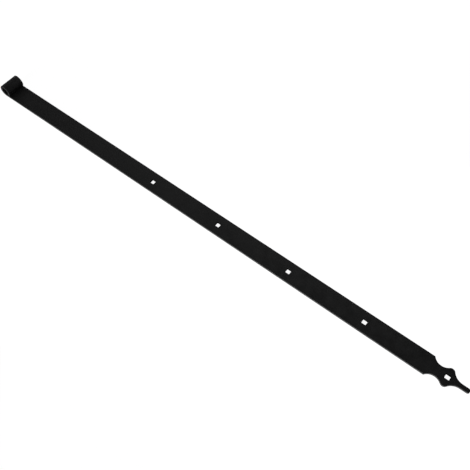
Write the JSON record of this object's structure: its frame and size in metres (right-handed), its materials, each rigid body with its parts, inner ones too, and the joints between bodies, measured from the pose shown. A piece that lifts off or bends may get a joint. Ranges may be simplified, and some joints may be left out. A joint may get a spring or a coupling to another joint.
{
  "type": "door hinge strap",
  "caption": "Long flat hinge strap with a rolled eye for a pintle, a row of square bolt holes and a lobed finial at the tip.",
  "frame": {"origin": "middle of the eye's bore, on its axis", "axes": "+X along the strap from the eye to the tip of the finial; +Y along the bore; +Z out of the front face, the side that the eye is rolled to"},
  "size_m": [1.1132, 0.04, 0.0264],
  "materials": {
    "black_powder_coat": "satin"
  },
  "bodies": {
    "root": {"hinge_strap": "black_powder_coat"}
  },
  "joints": []
}
